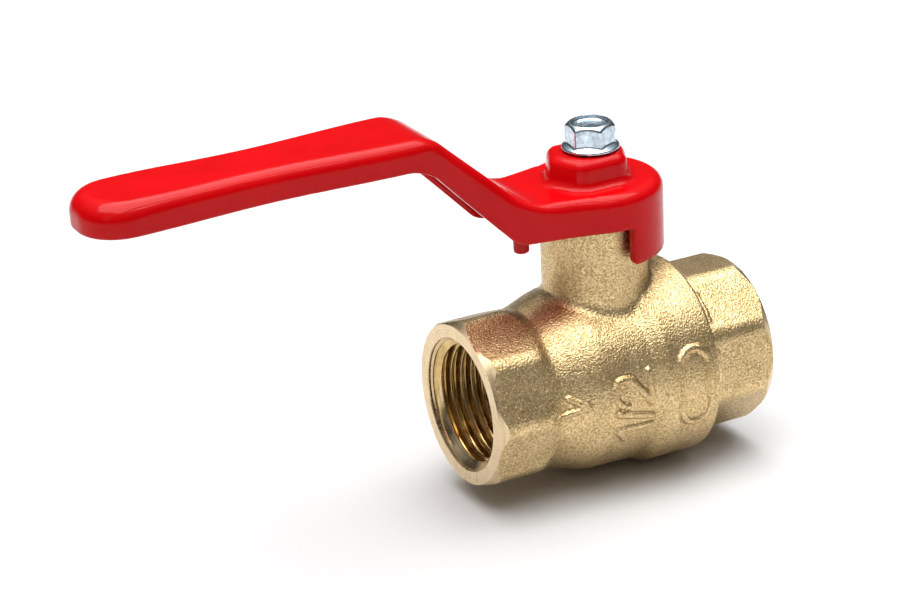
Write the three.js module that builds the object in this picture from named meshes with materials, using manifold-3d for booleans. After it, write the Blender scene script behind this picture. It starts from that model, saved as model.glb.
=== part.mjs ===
// A G 1/2 ball valve: forged body, screwed end cap, ball between two seats, stem, and a cranked lever.
// Millimetres. The pipe runs along X, the stem along Z, and the origin is the centre of the ball.
// The valve is open, with the lever's grip over the body's inlet end at -X.
import * as THREE from "three";
import { mergeVertices } from "three/addons/utils/BufferGeometryUtils.js";
import Module from "manifold-3d";

const wasm = await Module();
wasm.setup();

// --- Driving dimensions -------------------------------------------------------------------------

const GAP = 0.3; // between pieces that meet
const ROUND = 48; // facets round a large turned shape
const SMALL_ROUND = 32; // facets round a small one

const HALF_LENGTH = 25; // ball centre to either end face
const END_FLATS = 26; // across the flats of both octagonal ends
const END_CHAMFER_RADIUS = 12.9; // where the end chamfer meets the end face
const END_CHAMFER_LENGTH = 0.9;
const INLET_OCTAGON_END = 14.2; // ball centre to the inner end of the body's octagon
const INNER_CHAMFER = 2; // along X, where the body's octagon runs out into the chamber
const CAP_TURN = 17.5; // degrees that the screwed cap stands round from the body

const MOUTH_RADIUS = 10.7; // plain counterbore in front of the pipe thread
const MOUTH_DEPTH = 1;
const THREAD_MINOR_RADIUS = 9.32; // G 1/2
const THREAD_DEPTH = 11.1; // from the end face to the bottom of the pipe socket
const PORT_RADIUS = 7.5;
const SEAT_POCKET_RADIUS = 10.9;
const SEAT_POCKET_END = 12.7; // along X from the ball's centre

const CHAMBER_INNER_RADIUS = 12.2;
const CHAMBER_OUTER_RADIUS = 15.1;
const RING_RADIUS = 16.3; // the socket that the cap screws into
const RING_END = 13.1;
const CAP_THREAD_RADIUS = 13.4;
const CAP_INNER_END = 6; // clear of the stem's shoulder

const BALL_RADIUS = 11.4;
const BORE_RADIUS = 7;
const SLOT_FLOOR = 8.6; // height of the floor of the ball's slot
const TANG_HALF_THICKNESS = 1.9;
const SEAT_INNER_RADIUS = 7.3;
const SEAT_OUTER_RADIUS = 10.6;
const SEAT_FRONT = 7.4; // along X, nearest the ball's centre
const SEAT_BACK = 12.4;

const NECK_RADIUS = 8.4;
const NECK_TOP = 28.2;
const STEM_RADIUS = 4;
const STEM_BORE_RADIUS = 4.35;
const SHOULDER_RADIUS = 5.3; // on the stem, inside the body, so that pressure can't push it out
const SHOULDER_BOTTOM = 12.4;
const SHOULDER_TOP = 14.2;
const STEM_POCKET_RADIUS = 5.6;
const STEM_POCKET_TOP = 15.6;
const GROOVE_HEIGHT = 18.3; // middle of the O-ring groove
const GROOVE_RADIUS = 3;
const GROOVE_HALF_WIDTH = 0.7;
const O_RING_SECTION_RADIUS = 0.6;
const PACKING_BOTTOM = 22.6;
const PACKING_RADIUS = 6.3;
const PACKING_RING_HEIGHT = 1.4;
const GLAND_BOTTOM = 26.1;
const GLAND_FLATS = 13;
const GLAND_TOP = 29.8;
const SQUARE_BOTTOM = 30; // the square on the stem that turns the lever
const SQUARE_HALF_WIDTH = 3;
const STEM_TOP = 36.6;
const SCREW_HOLE_RADIUS = 2.2;
const SCREW_HOLE_BOTTOM = 25.5;

const HEAD_RADIUS = 11.1; // round head of the lever, over the neck
const HEAD_TOP = 32.8;
const SKIRT_BOTTOM = 27;
const GRIP_TOP = 47.3;
const GRIP_DEPTH = 4.9;
const CRANK_FOOT = -14.8; // along X, where the head's top turns up into the crank
const CRANK_HEAD = -30.8; // along X, where the crank's top turns into the grip
const LEVER_TIP = -84.4;
const LEVER_WALL = 1.9;
const CLUB_HALF_WIDTH = 7.5; // near the lever's tip
const WAIST_HALF_WIDTH = 6.6;
const KNEE_HALF_WIDTH = 7.9; // where the grip meets the crank
const CRANK_HALF_WIDTH = 6.8;
const BOSS_CENTRE = -0.8; // the boss stands a little towards the grip
const BOSS_TOP = 37.2;
const STOP_TAB = { from: -84, to: -5, bottom: 20.8 }; // degrees from +X round Z, and height
const STOP_PEG = { x: -12.9, radius: 1.25, bottom: 22.9 };
const STOP_LUG = { radius: 12.3, bottom: 19.5, top: 26.4 };
const STOP_CLEARANCE = 1.2; // degrees left between a stop and the lug at each end of the turn

const SCREW_FLANGE_RADIUS = 4.55;
const SCREW_FLANGE_BOTTOM = 37.4;
const SCREW_HEX_FLATS = 7;
const SCREW_HEX_BOTTOM = 38.2;
const SCREW_TOP = 41.7;
const SCREW_TURN = 24; // degrees the hexagon sits round from the lever
const SCREW_SHANK_RADIUS = 1.95;
const SCREW_SHANK_BOTTOM = 26.2;

// --- Materials ----------------------------------------------------------------------------------

const finish = (color, roughness, metalness) => ({ color, roughness, metalness });
const BLASTED_BRASS = finish(0xcbb583, 0.65, 0.8);
const TURNED_BRASS = finish(0xd9b36c, 0.3, 1);
const CHROME = finish(0xe2e5e8, 0.08, 1);
const PTFE = finish(0xf2f1ec, 0.55, 0);
const RUBBER = finish(0x1b1b1c, 0.8, 0);
const RED_ENAMEL = finish(0xc8050c, 0.18, 0);
const ZINC = finish(0xb9c4cc, 0.28, 1);

// --- Solids -------------------------------------------------------------------------------------

const radians = THREE.MathUtils.degToRad;

// The closed solid of a three.js geometry, ready to be joined or cut.
function solid(geometry) {
  const bare = geometry.index ? geometry.toNonIndexed() : geometry.clone();
  bare.deleteAttribute("normal");
  bare.deleteAttribute("uv");
  const merged = mergeVertices(bare);
  const corners = [];
  for (let i = 0; i < merged.index.count; i += 3) {
    const [a, b, c] = merged.index.array.slice(i, i + 3);
    if (a !== b && b !== c && c !== a) corners.push(a, b, c); // a lathe's poles leave flat triangles
  }
  const vertProperties = merged.attributes.position.array;
  const triVerts = new Uint32Array(corners);
  return new wasm.Manifold(new wasm.Mesh({ numProp: 3, vertProperties, triVerts }));
}

// A shape turned about X from [along, radius] points, listed so that the solid lies on their right.
function turnedAboutX(points, facets = ROUND) {
  const profile = points.map(([along, radius]) => new THREE.Vector2(radius, along));
  return solid(new THREE.LatheGeometry(profile, facets).rotateZ(-Math.PI / 2));
}

// The same about Z, from [height, radius] points.
function turnedAboutZ(points, facets = SMALL_ROUND) {
  const profile = points.map(([height, radius]) => new THREE.Vector2(radius, height));
  return solid(new THREE.LatheGeometry(profile, facets).rotateX(Math.PI / 2));
}

// Points that close a solid of revolution on the axis at both ends.
const onAxis = (points) => [[points[0][0], 0], ...points, [points.at(-1)[0], 0]];

// A plain cylinder about Z.
function pin(radius, bottom, top, facets = SMALL_ROUND) {
  return turnedAboutZ(onAxis([[bottom, radius], [top, radius]]), facets);
}

// A ring of rectangular section about Z.
function ring(innerRadius, outerRadius, bottom, top) {
  return turnedAboutZ([
    [bottom, innerRadius],
    [bottom, outerRadius],
    [top, outerRadius],
    [top, innerRadius],
    [bottom, innerRadius],
  ]);
}

// A flat shape in X and Y, raised from one height to another.
function raised(shape, bottom, top, curveSegments = 12) {
  const options = { depth: top - bottom, bevelEnabled: false, curveSegments };
  return solid(new THREE.ExtrudeGeometry(shape, options).translate(0, 0, bottom));
}

// A regular polygon by its width across flats, with a corner on the shape's first axis.
function polygon(sides, acrossFlats, turn = 0) {
  const radius = acrossFlats / 2 / Math.cos(Math.PI / sides);
  const corners = Array.from({ length: sides }, (_, i) => {
    const angle = radians(turn) + (i * 2 * Math.PI) / sides;
    return new THREE.Vector2(radius * Math.cos(angle), radius * Math.sin(angle));
  });
  return new THREE.Shape(corners);
}

// A sector of a ring about Z, between two angles in degrees.
function sector(innerRadius, outerRadius, from, to) {
  const shape = new THREE.Shape();
  shape.absarc(0, 0, outerRadius, radians(from), radians(to), false);
  shape.absarc(0, 0, innerRadius, radians(to), radians(from), true);
  return shape;
}

function block(width, depth, bottom, top) {
  const box = new THREE.BoxGeometry(width, depth, top - bottom);
  return solid(box.translate(0, 0, (bottom + top) / 2));
}

function meshOf(name, shape, surface) {
  const { vertProperties, triVerts } = shape.getMesh();
  const geometry = new THREE.BufferGeometry();
  geometry.setAttribute("position", new THREE.BufferAttribute(vertProperties, 3));
  geometry.setIndex(new THREE.BufferAttribute(triVerts, 1));
  geometry.computeVertexNormals();
  const mesh = new THREE.Mesh(geometry, new THREE.MeshStandardMaterial(surface));
  mesh.name = name;
  return mesh;
}

// --- Housing ------------------------------------------------------------------------------------

// An octagonal pipe end on +X from a start to the end face, its corners chamfered at both ends.
function octagonalEnd(start, turn) {
  const shape = polygon(8, END_FLATS, turn);
  const options = { depth: HALF_LENGTH - start, bevelEnabled: false };
  const bar = solid(new THREE.ExtrudeGeometry(shape, options).rotateY(Math.PI / 2).translate(start, 0, 0));
  const corner = END_FLATS / 2 / Math.cos(Math.PI / 8) + 0.1;
  const chamfer = turnedAboutX(onAxis([
    [start, corner - INNER_CHAMFER / 2],
    [start + INNER_CHAMFER, corner],
    [HALF_LENGTH - END_CHAMFER_LENGTH, corner],
    [HALF_LENGTH, END_CHAMFER_RADIUS],
  ]));
  return bar.intersect(chamfer);
}

// The way through a pipe end on +X: seat pocket, port, threaded socket and plain mouth.
function waterway(pocketStart) {
  const socketFloor = HALF_LENGTH - THREAD_DEPTH;
  const mouthFloor = HALF_LENGTH - MOUTH_DEPTH;
  const leadIn = MOUTH_RADIUS - THREAD_MINOR_RADIUS;
  return turnedAboutX(onAxis([
    [pocketStart, SEAT_POCKET_RADIUS],
    [SEAT_POCKET_END, SEAT_POCKET_RADIUS],
    [SEAT_POCKET_END, PORT_RADIUS],
    [socketFloor, PORT_RADIUS],
    [socketFloor, THREAD_MINOR_RADIUS],
    [mouthFloor - leadIn, THREAD_MINOR_RADIUS],
    [mouthFloor, MOUTH_RADIUS],
    [HALF_LENGTH + 1, MOUTH_RADIUS],
  ]));
}

const toInletSide = (shape) => shape.rotate([0, 0, 180]);

// Points along a smooth rise between two [along, radius] points, level at both of them.
function smoothRise([x0, r0], [x1, r1], steps) {
  return Array.from({ length: steps + 1 }, (_, i) => {
    const share = i / steps;
    return [x0 + (x1 - x0) * share, r0 + (r1 - r0) * share * share * (3 - 2 * share)];
  });
}

// The chamber round the ball, swelling out of the octagon and again into the cap's ring.
function chamberOutside() {
  const foot = [-15, 12.8];
  const shoulder = [-5.6, CHAMBER_OUTER_RADIUS - 0.15];
  const edge = 0.6;
  return turnedAboutX(onAxis([
    ...smoothRise(foot, shoulder, 6),
    ...smoothRise([1.2, CHAMBER_OUTER_RADIUS], [5, RING_RADIUS], 4),
    [RING_END - edge, RING_RADIUS],
    [RING_END, RING_RADIUS - edge],
  ]));
}

// The lug on the neck that both stops of the lever come up against.
function stopLug() {
  const pegHalfAngle = THREE.MathUtils.radToDeg(Math.asin(STOP_PEG.radius / -STOP_PEG.x));
  const from = STOP_TAB.to + STOP_CLEARANCE;
  const to = 90 - pegHalfAngle - STOP_CLEARANCE;
  return raised(sector(NECK_RADIUS - 1, STOP_LUG.radius, from, to), STOP_LUG.bottom, STOP_LUG.top);
}

function valveBody() {
  const neckEdge = 0.4;
  const neck = turnedAboutZ(onAxis([
    [CHAMBER_INNER_RADIUS / 2, NECK_RADIUS],
    [NECK_TOP - neckEdge, NECK_RADIUS],
    [NECK_TOP, NECK_RADIUS - neckEdge],
  ]));
  const chamber = turnedAboutX(onAxis([
    [-SEAT_FRONT, CHAMBER_INNER_RADIUS],
    [CAP_INNER_END - GAP, CHAMBER_INNER_RADIUS],
    [CAP_INNER_END - GAP, CAP_THREAD_RADIUS + GAP],
    [RING_END + 1, CAP_THREAD_RADIUS + GAP],
  ]));
  const stemPassage = turnedAboutZ(onAxis([
    [0, STEM_POCKET_RADIUS],
    [STEM_POCKET_TOP, STEM_POCKET_RADIUS],
    [STEM_POCKET_TOP, STEM_BORE_RADIUS],
    [PACKING_BOTTOM, STEM_BORE_RADIUS],
    [PACKING_BOTTOM, PACKING_RADIUS],
    [NECK_TOP + 1, PACKING_RADIUS],
  ]));
  return toInletSide(octagonalEnd(INLET_OCTAGON_END, 0))
    .add(chamberOutside())
    .add(neck)
    .add(stopLug())
    .subtract(toInletSide(waterway(SEAT_FRONT - 1)))
    .subtract(chamber)
    .subtract(stemPassage);
}

function endCap() {
  const collar = turnedAboutX(onAxis([
    [CAP_INNER_END, CAP_THREAD_RADIUS - 0.5],
    [CAP_INNER_END + 0.5, CAP_THREAD_RADIUS],
    [RING_END + GAP + 0.1, CAP_THREAD_RADIUS],
  ]));
  return octagonalEnd(RING_END + GAP, CAP_TURN).add(collar).subtract(waterway(CAP_INNER_END - 1));
}

// A seat on +X: a ring whose inner edge is dished to the ball.
function seat() {
  const dishRadius = BALL_RADIUS + 0.15;
  const dishAt = (radius) => Math.sqrt(dishRadius ** 2 - radius ** 2);
  const lip = Math.sqrt(dishRadius ** 2 - SEAT_FRONT ** 2);
  const steps = 4;
  const dish = Array.from({ length: steps + 1 }, (_, i) => {
    const radius = SEAT_INNER_RADIUS + ((lip - SEAT_INNER_RADIUS) * i) / steps;
    return [dishAt(radius), radius];
  });
  return turnedAboutX([
    ...dish,
    [SEAT_FRONT, SEAT_OUTER_RADIUS],
    [SEAT_BACK, SEAT_OUTER_RADIUS],
    [SEAT_BACK, SEAT_INNER_RADIUS],
    dish[0],
  ]);
}

const packingBore = STEM_RADIUS + 0.2;

function packingRing(bottom) {
  return ring(packingBore, PACKING_RADIUS - 0.2, bottom, bottom + PACKING_RING_HEIGHT);
}

function thrustWasher() {
  return ring(packingBore, SHOULDER_RADIUS, SHOULDER_TOP + 0.2, STEM_POCKET_TOP - GAP);
}

function glandNut() {
  const sleeveRadius = PACKING_RADIUS - GAP;
  const headBottom = NECK_TOP + GAP;
  const sleeve = pin(sleeveRadius, GLAND_BOTTOM, headBottom + 0.1);
  const head = raised(polygon(6, GLAND_FLATS), headBottom, GLAND_TOP);
  const hole = pin(STEM_RADIUS + GAP, GLAND_BOTTOM - 1, GLAND_TOP + 1);
  return sleeve.add(head).subtract(hole);
}

// --- Ball, stem and lever -----------------------------------------------------------------------

function ball() {
  const sphere = solid(new THREE.SphereGeometry(BALL_RADIUS, ROUND, 28).rotateZ(Math.PI / 2));
  const bore = turnedAboutX(onAxis([[-BALL_RADIUS - 1, BORE_RADIUS], [BALL_RADIUS + 1, BORE_RADIUS]]));
  const slotWidth = 2 * (TANG_HALF_THICKNESS + 0.25);
  return sphere.subtract(bore).subtract(block(slotWidth, 3 * BALL_RADIUS, SLOT_FLOOR, BALL_RADIUS + 1));
}

function stem() {
  const shaft = turnedAboutZ(onAxis([
    [SHOULDER_BOTTOM, SHOULDER_RADIUS],
    [SHOULDER_TOP, SHOULDER_RADIUS],
    [SHOULDER_TOP, STEM_RADIUS],
    [GROOVE_HEIGHT - GROOVE_HALF_WIDTH, STEM_RADIUS],
    [GROOVE_HEIGHT - GROOVE_HALF_WIDTH, GROOVE_RADIUS],
    [GROOVE_HEIGHT + GROOVE_HALF_WIDTH, GROOVE_RADIUS],
    [GROOVE_HEIGHT + GROOVE_HALF_WIDTH, STEM_RADIUS],
    [SQUARE_BOTTOM, STEM_RADIUS],
  ]));
  const tangRound = pin(SHOULDER_RADIUS - 0.4, 0, SHOULDER_TOP);
  const tangBottom = SLOT_FLOOR + GAP;
  const tang = block(2 * TANG_HALF_THICKNESS, 20, tangBottom, SHOULDER_BOTTOM + 0.1).intersect(tangRound);
  const topRound = pin(STEM_RADIUS, SQUARE_BOTTOM - 1, STEM_TOP);
  const square = block(2 * SQUARE_HALF_WIDTH, 2 * SQUARE_HALF_WIDTH, SQUARE_BOTTOM - 1, STEM_TOP);
  const tappedHole = pin(SCREW_HOLE_RADIUS, SCREW_HOLE_BOTTOM, STEM_TOP + 1);
  return shaft.add(tang).add(square.intersect(topRound)).subtract(tappedHole);
}

function stemORing() {
  const centreRadius = GROOVE_RADIUS + O_RING_SECTION_RADIUS + 0.08;
  const torus = new THREE.TorusGeometry(centreRadius, O_RING_SECTION_RADIUS, 10, SMALL_ROUND);
  return solid(torus.translate(0, 0, GROOVE_HEIGHT));
}

// The lever seen from above: round head, straight flare, crank, knee, waist, and a club at the tip.
function leverPlan(inset) {
  const head = HEAD_RADIUS - inset;
  const flareAngle = radians(108.9);
  const club = CLUB_HALF_WIDTH - inset;
  const waist = WAIST_HALF_WIDTH - inset;
  const knee = KNEE_HALF_WIDTH - inset;
  const crank = CRANK_HALF_WIDTH - inset;
  const tip = LEVER_TIP + inset;
  const flareMiddle = (crank + head * Math.sin(flareAngle)) / 2 - 0.6;
  const shape = new THREE.Shape();
  shape.moveTo(tip, 0);
  shape.bezierCurveTo(tip, -0.65 * club, tip + 2.8, -club, tip + 6.4, -club);
  shape.bezierCurveTo(tip + 12.4, -club, -66, -waist, -57, -waist);
  shape.bezierCurveTo(-49, -waist, -41, -knee, -34, -knee);
  shape.bezierCurveTo(-29, -knee, -28, -crank, -22, -crank);
  shape.lineTo(-18, -crank);
  shape.quadraticCurveTo(-14.4, -crank, -10.4, -flareMiddle);
  shape.absarc(0, 0, head, -flareAngle, flareAngle, false);
  shape.lineTo(-10.4, flareMiddle);
  shape.quadraticCurveTo(-14.4, crank, -18, crank);
  shape.lineTo(-22, crank);
  shape.bezierCurveTo(-28, crank, -29, knee, -34, knee);
  shape.bezierCurveTo(-41, knee, -49, waist, -57, waist);
  shape.bezierCurveTo(-66, waist, tip + 12.4, club, tip + 6.4, club);
  shape.bezierCurveTo(tip + 2.8, club, tip, 0.65 * club, tip, 0);
  return shape;
}

// The lever seen from the side, between an upper and a lower line of [x, z] points, across all of Y.
function leverSide(upper, lower) {
  const reach = 2 * HEAD_RADIUS;
  const outline = [...upper, ...lower.toReversed()].map(([x, z]) => new THREE.Vector2(x, z));
  const options = { depth: 2 * reach, bevelEnabled: false };
  const slab = new THREE.ExtrudeGeometry(new THREE.Shape(outline), options);
  return solid(slab.rotateX(Math.PI / 2).translate(0, reach, 0));
}

// The hexagonal boss, whose flats the stem's square and the screw stand in.
function leverBoss() {
  const flat = { x: 4.1, y: 5.8 };
  const corner = 6.8;
  const shape = new THREE.Shape([
    new THREE.Vector2(BOSS_CENTRE + corner, 0),
    new THREE.Vector2(BOSS_CENTRE + flat.x, flat.y),
    new THREE.Vector2(BOSS_CENTRE - flat.x, flat.y),
    new THREE.Vector2(BOSS_CENTRE - corner, 0),
    new THREE.Vector2(BOSS_CENTRE - flat.x, -flat.y),
    new THREE.Vector2(BOSS_CENTRE + flat.x, -flat.y),
  ]);
  return raised(shape, HEAD_TOP - 1, BOSS_TOP);
}

function lever() {
  const outerReach = 20;
  const top = [
    [LEVER_TIP - 1, GRIP_TOP - 0.2],
    [CRANK_HEAD, GRIP_TOP],
    [CRANK_FOOT, HEAD_TOP],
    [outerReach, HEAD_TOP],
  ];
  const rim = [
    [LEVER_TIP - 1, GRIP_TOP - GRIP_DEPTH],
    [CRANK_HEAD - 1.4, GRIP_TOP - GRIP_DEPTH],
    [CRANK_FOOT - 2.1, SKIRT_BOTTOM],
    [outerReach, SKIRT_BOTTOM],
  ];
  const ceiling = top.map(([x, z]) => [x - 0.75, z - LEVER_WALL - 0.1]);
  const floor = rim.map(([x, z]) => [x, z - 5]);
  const shell = raised(leverPlan(0), 0, 60).intersect(leverSide(top, rim));
  const channel = raised(leverPlan(LEVER_WALL), 0, 60).intersect(leverSide(ceiling, floor));
  const tabShape = sector(HEAD_RADIUS - LEVER_WALL, HEAD_RADIUS, STOP_TAB.from, STOP_TAB.to);
  const tab = raised(tabShape, STOP_TAB.bottom, SKIRT_BOTTOM + 1);
  const peg = pin(STOP_PEG.radius, STOP_PEG.bottom, HEAD_TOP - 1, 16).translate([STOP_PEG.x, 0, 0]);
  const holeHalfWidth = SQUARE_HALF_WIDTH + 0.25;
  const holeRound = pin(STEM_RADIUS + 0.35, 0, BOSS_TOP + 1);
  const hole = block(2 * holeHalfWidth, 2 * holeHalfWidth, 0, BOSS_TOP + 1).intersect(holeRound);
  return shell.subtract(channel).add(tab).add(peg).add(leverBoss()).subtract(hole);
}

function leverScrew() {
  const flange = turnedAboutZ(onAxis([
    [SCREW_SHANK_BOTTOM, SCREW_SHANK_RADIUS],
    [SCREW_FLANGE_BOTTOM, SCREW_SHANK_RADIUS],
    [SCREW_FLANGE_BOTTOM, SCREW_FLANGE_RADIUS],
    [SCREW_FLANGE_BOTTOM + 0.4, SCREW_FLANGE_RADIUS],
    [SCREW_HEX_BOTTOM + 0.3, SCREW_HEX_FLATS / 2],
  ]));
  const rim = SCREW_HEX_FLATS / 2 - 0.3;
  const recess = rim - 0.25;
  const crown = turnedAboutZ(onAxis([
    [SCREW_HEX_BOTTOM - 1, SCREW_HEX_FLATS],
    [SCREW_TOP - 0.9, SCREW_HEX_FLATS / 2 + 0.6],
    [SCREW_TOP, rim],
    [SCREW_TOP, recess],
    [SCREW_TOP - 0.7, recess - 0.3],
  ]));
  const hexagon = raised(polygon(6, SCREW_HEX_FLATS, SCREW_TURN), SCREW_HEX_BOTTOM, SCREW_TOP);
  return flange.add(hexagon.intersect(crown));
}

// --- The valve ----------------------------------------------------------------------------------

const housing = new THREE.Group();
housing.add(
  meshOf("valve_body", valveBody(), BLASTED_BRASS),
  meshOf("end_cap", endCap(), BLASTED_BRASS),
  meshOf("seat_inlet", toInletSide(seat()), PTFE),
  meshOf("seat_outlet", seat(), PTFE),
  meshOf("stem_thrust_washer", thrustWasher(), PTFE),
  meshOf("packing_ring_lower", packingRing(PACKING_BOTTOM + GAP), PTFE),
  meshOf("packing_ring_upper", packingRing(GLAND_BOTTOM - 0.2 - PACKING_RING_HEIGHT), PTFE),
  meshOf("gland_nut", glandNut(), TURNED_BRASS),
);

const drive = new THREE.Group();
drive.add(
  meshOf("stem", stem(), TURNED_BRASS),
  meshOf("stem_o_ring", stemORing(), RUBBER),
  meshOf("lever", lever(), RED_ENAMEL),
  meshOf("lever_screw", leverScrew(), ZINC),
);

const valve = new THREE.Group();
valve.add(housing, drive, meshOf("ball", ball(), CHROME));

export default valve;
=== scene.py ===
import math

import bpy
import numpy as np
from mathutils import Matrix, Vector


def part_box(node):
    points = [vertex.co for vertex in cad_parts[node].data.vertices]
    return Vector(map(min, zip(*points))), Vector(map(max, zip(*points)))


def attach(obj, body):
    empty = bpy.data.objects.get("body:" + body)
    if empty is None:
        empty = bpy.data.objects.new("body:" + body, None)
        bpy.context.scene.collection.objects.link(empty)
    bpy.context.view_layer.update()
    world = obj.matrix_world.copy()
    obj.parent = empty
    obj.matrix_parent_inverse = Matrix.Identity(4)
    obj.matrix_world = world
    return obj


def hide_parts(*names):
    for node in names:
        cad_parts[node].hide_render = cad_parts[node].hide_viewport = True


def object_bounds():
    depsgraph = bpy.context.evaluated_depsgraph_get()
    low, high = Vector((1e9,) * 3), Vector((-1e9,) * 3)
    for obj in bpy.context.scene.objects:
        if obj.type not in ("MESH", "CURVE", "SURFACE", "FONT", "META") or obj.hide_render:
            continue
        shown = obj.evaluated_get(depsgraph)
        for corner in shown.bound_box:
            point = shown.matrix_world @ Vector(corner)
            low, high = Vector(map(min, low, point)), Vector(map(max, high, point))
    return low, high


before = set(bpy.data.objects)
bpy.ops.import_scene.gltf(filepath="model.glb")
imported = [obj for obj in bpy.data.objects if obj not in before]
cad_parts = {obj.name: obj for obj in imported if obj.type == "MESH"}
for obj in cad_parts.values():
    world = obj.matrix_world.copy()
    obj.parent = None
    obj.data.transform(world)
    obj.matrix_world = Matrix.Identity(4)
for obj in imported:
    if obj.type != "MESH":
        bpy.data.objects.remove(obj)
cad_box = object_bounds()

MM = 0.001
FINE = 1


def cad(node):
    """The lowest and highest corners of a CAD node, in millimetres."""
    low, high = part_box(node)
    return np.array(low) / MM, np.array(high) / MM


BODY_LOW, BODY_HIGH = cad("valve_body")
CAP_LOW, CAP_HIGH = cad("end_cap")
LEVER_LOW, LEVER_HIGH = cad("lever")
SCREW_LOW, SCREW_HIGH = cad("lever_screw")
STEM_LOW, STEM_HIGH = cad("stem")
NUT_LOW, NUT_HIGH = cad("gland_nut")
BALL_RADIUS = cad("ball")[1][2]

# --- Fields -------------------------------------------------------------------------------------


def round_join(a, b, radius):
    """Two fields joined, with a fillet of that radius between them."""
    near = np.hypot(np.maximum(radius - a, 0), np.maximum(radius - b, 0))
    return np.maximum(np.minimum(a, b), radius) - near


def round_common(a, b, radius):
    """What two fields share, with its edge rounded to that radius."""
    near = np.hypot(np.maximum(a + radius, 0), np.maximum(b + radius, 0))
    return np.minimum(np.maximum(a, b), -radius) + near


def between(value, low, high):
    return np.maximum(low - value, value - high)


def rod(radius, along, low, high, size, edge):
    """A cylinder of that size, from the distance to its axis and the place along it."""
    return round_common(radius - size, between(along, low, high), edge)


def tube(radius, along, low, high, inner, outer, edge):
    return round_common(between(radius, inner, outer), between(along, low, high), edge)


def prism(u, v, sides, flats, turn, edge):
    """A bar with a regular outline, with its corners at turn degrees from u towards v."""
    pitch = 2 * math.pi / sides
    angle = np.arctan2(v, u) - math.radians(turn)
    from_flat = np.abs(angle % pitch - pitch / 2)
    radius = np.hypot(u, v)
    nearest = radius * np.cos(from_flat) - flats / 2
    neighbour = radius * np.cos(pitch - from_flat) - flats / 2
    return round_common(nearest, neighbour, edge)


def wedge(x, y, start, end, edge):
    """The sector round Z between two angles in degrees from +X, less than a half turn apart."""
    start, end = math.radians(start), math.radians(end)
    after_start = x * math.sin(start) - y * math.cos(start)
    before_end = y * math.cos(end) - x * math.sin(end)
    return round_common(after_start, before_end, edge)


def half_plane(u, v, first, second):
    """Distance to the left of the line from one (u, v) point to the next; negative on its right."""
    along_u, along_v = second[0] - first[0], second[1] - first[1]
    length = math.hypot(along_u, along_v)
    return ((v - first[1]) * along_u - (u - first[0]) * along_v) / length


def eased(x, stations):
    """A smooth curve through (x, value) stations, level at each of them."""
    places, values = zip(*stations)
    value = np.full_like(x, values[0])
    for i in range(len(stations) - 1):
        share = np.clip((x - places[i]) / (places[i + 1] - places[i]), 0, 1)
        value = value + (values[i + 1] - values[i]) * share * share * (3 - 2 * share)
    return value


def to_stroke(u, v, points):
    """Distance from (u, v) to a line through the points."""
    nearest = None
    for (u0, v0), (u1, v1) in zip(points, points[1:]):
        du, dv = u1 - u0, v1 - v0
        share = np.clip(((u - u0) * du + (v - v0) * dv) / (du * du + dv * dv), 0, 1)
        distance = np.hypot(u - u0 - share * du, v - v0 - share * dv)
        nearest = distance if nearest is None else np.minimum(nearest, distance)
    return nearest


def gradient(field, points, reach=0.01):
    """The slope of a field at each point, by central differences."""
    slope = np.empty_like(points)
    for axis in range(3):
        step = np.zeros(3)
        step[axis] = reach
        slope[:, axis] = (field(*(points + step).T) - field(*(points - step).T)) / (2 * reach)
    return slope


# --- Meshes from fields -------------------------------------------------------------------------


def grid_cells(inside):
    """Number every grid cell that the surface passes through; the others are -1."""
    filled = np.zeros([n - 1 for n in inside.shape], np.uint8)
    for i in (0, 1):
        for j in (0, 1):
            for k in (0, 1):
                a, b, c = filled.shape
                filled += inside[i : i + a, j : j + b, k : k + c]
    mixed = (filled > 0) & (filled < 8)
    number = np.full(filled.shape, -1, np.int32)
    number[mixed] = np.arange(np.count_nonzero(mixed))
    return number, np.argwhere(mixed)


def cell_centres(values, cells):
    """The middle of the places where the surface crosses each cell's twelve edges."""
    total = np.zeros((len(cells), 3))
    crossings = np.zeros(len(cells))
    for axis in range(3):
        u, v = (axis + 1) % 3, (axis + 2) % 3
        for i in (0, 1):
            for j in (0, 1):
                start = cells.copy()
                start[:, u] += i
                start[:, v] += j
                end = start.copy()
                end[:, axis] += 1
                first = values[tuple(start.T)].astype(float)
                second = values[tuple(end.T)].astype(float)
                crosses = (first < 0) != (second < 0)
                place = start.astype(float)
                place[crosses, axis] += first[crosses] / (first[crosses] - second[crosses])
                total[crosses] += place[crosses]
                crossings += crosses
    return total / crossings[:, None]


def cell_faces(inside, number):
    """A four-sided face round every grid edge that goes through the surface, facing outwards."""
    faces = []
    for axis in range(3):
        u, v = (axis + 1) % 3, (axis + 2) % 3
        starts_inside = np.take(inside, np.arange(inside.shape[axis] - 1), axis)
        ends_inside = np.take(inside, np.arange(1, inside.shape[axis]), axis)
        edges = np.argwhere(starts_inside != ends_inside)
        corners = []
        for back_u, back_v in ((0, 0), (1, 0), (1, 1), (0, 1)):
            cell = edges.copy()
            cell[:, u] -= back_u
            cell[:, v] -= back_v
            corners.append(number[tuple(cell.T)])
        around = np.stack(corners, 1)
        inwards = ~starts_inside[tuple(edges.T)]
        around[inwards] = around[inwards, ::-1]
        faces.append(around)
    return np.concatenate(faces)


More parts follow.
